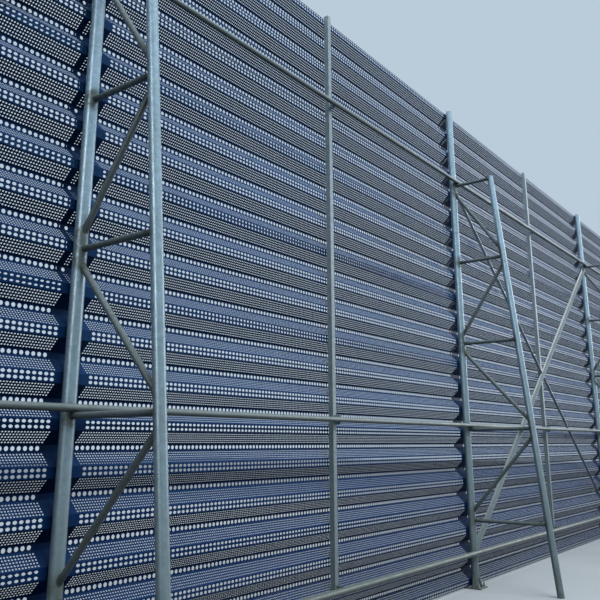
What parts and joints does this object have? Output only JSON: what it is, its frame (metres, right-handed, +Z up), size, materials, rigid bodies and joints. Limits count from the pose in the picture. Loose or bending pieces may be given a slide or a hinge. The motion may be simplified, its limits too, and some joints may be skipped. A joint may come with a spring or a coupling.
{
  "type": "windbreak dust suppression fence",
  "caption": "Run of windbreak fence in bays: corrugated perforated sheets held on leaning tube trusses with rails, slim posts and crossed braces.",
  "frame": {"origin": "underside of the middle truss's base plate, on its column's axis", "axes": "+X along the fence, +Y towards the sheeted side, +Z up"},
  "size_m": [22.94, 1.1462, 5.9236],
  "materials": {
    "frame_steel": "galvanised, dull, stained at welds",
    "rail_steel": "galvanised, satin",
    "brace_steel": "galvanised, dull",
    "blue_sheet": "blue stoved paint, satin, dusty"
  },
  "bodies": {
    "root": {"truss_1": "frame_steel", "truss_2": "frame_steel", "truss_3": "frame_steel", "truss_4": "frame_steel", "truss_5": "frame_steel", "post_1": "frame_steel", "post_2": "frame_steel", "post_3": "frame_steel", "post_4": "frame_steel", "rail_lower": "rail_steel", "rail_middle": "rail_steel", "rail_upper": "rail_steel", "brace_1_rising": "brace_steel", "brace_1_falling": "brace_steel", "brace_3_rising": "brace_steel", "brace_3_falling": "brace_steel", "sheet_1_1": "blue_sheet", "sheet_1_2": "blue_sheet", "sheet_1_3": "blue_sheet", "sheet_1_4": "blue_sheet", "sheet_1_5": "blue_sheet", "sheet_1_6": "blue_sheet", "sheet_1_7": "blue_sheet", "sheet_2_1": "blue_sheet", "sheet_2_2": "blue_sheet", "sheet_2_3": "blue_sheet", "sheet_2_4": "blue_sheet", "sheet_2_5": "blue_sheet", "sheet_2_6": "blue_sheet", "sheet_2_7": "blue_sheet", "sheet_3_1": "blue_sheet", "sheet_3_2": "blue_sheet", "sheet_3_3": "blue_sheet", "sheet_3_4": "blue_sheet", "sheet_3_5": "blue_sheet", "sheet_3_6": "blue_sheet", "sheet_3_7": "blue_sheet", "sheet_4_1": "blue_sheet", "sheet_4_2": "blue_sheet", "sheet_4_3": "blue_sheet", "sheet_4_4": "blue_sheet", "sheet_4_5": "blue_sheet", "sheet_4_6": "blue_sheet", "sheet_4_7": "blue_sheet"}
  },
  "joints": []
}
